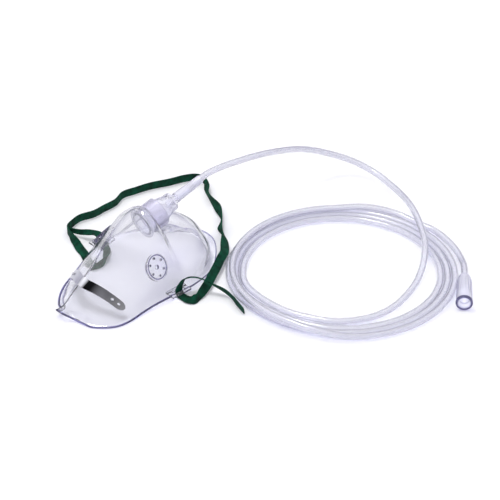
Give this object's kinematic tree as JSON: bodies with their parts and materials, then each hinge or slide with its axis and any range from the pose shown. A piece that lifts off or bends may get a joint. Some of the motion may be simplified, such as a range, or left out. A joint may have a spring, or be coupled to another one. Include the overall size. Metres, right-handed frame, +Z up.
{
  "type": "oxygen face mask",
  "caption": "Clear moulded oxygen face mask with a nose clip, vented cheeks, push-in air adapter, green elastic head strap and a coil of oxygen tubing with an end connector.",
  "frame": {"origin": "bottom centre of the box round the mask and its head strap, on the table", "axes": "+X along the mask from the nose end to the chin end and out through the gas port, +Z up from the rim, +Y to the cheek away from the coil"},
  "size_m": [0.2954, 0.2823, 0.0592],
  "materials": {
    "clear_pvc": "clear soft PVC, gloss",
    "aluminium_strip": "rolled bright",
    "clear_adapter": "clear rigid plastic, gloss",
    "cuff_pvc": "clear soft PVC, gloss",
    "tubing_pvc": "clear soft PVC, gloss",
    "coil_pvc": "clear soft PVC, gloss",
    "green_elastic": "woven elastic, matt",
    "connector_pvc": "clear soft PVC, gloss"
  },
  "bodies": {
    "root": {"mask_shell": "clear_pvc", "nose_clip": "aluminium_strip", "port_adapter": "clear_adapter", "mask_cuff": "cuff_pvc", "tube_lead": "tubing_pvc", "tube_tail": "tubing_pvc", "tube_coil": "coil_pvc", "head_strap": "green_elastic", "end_connector": "connector_pvc"}
  },
  "joints": []
}
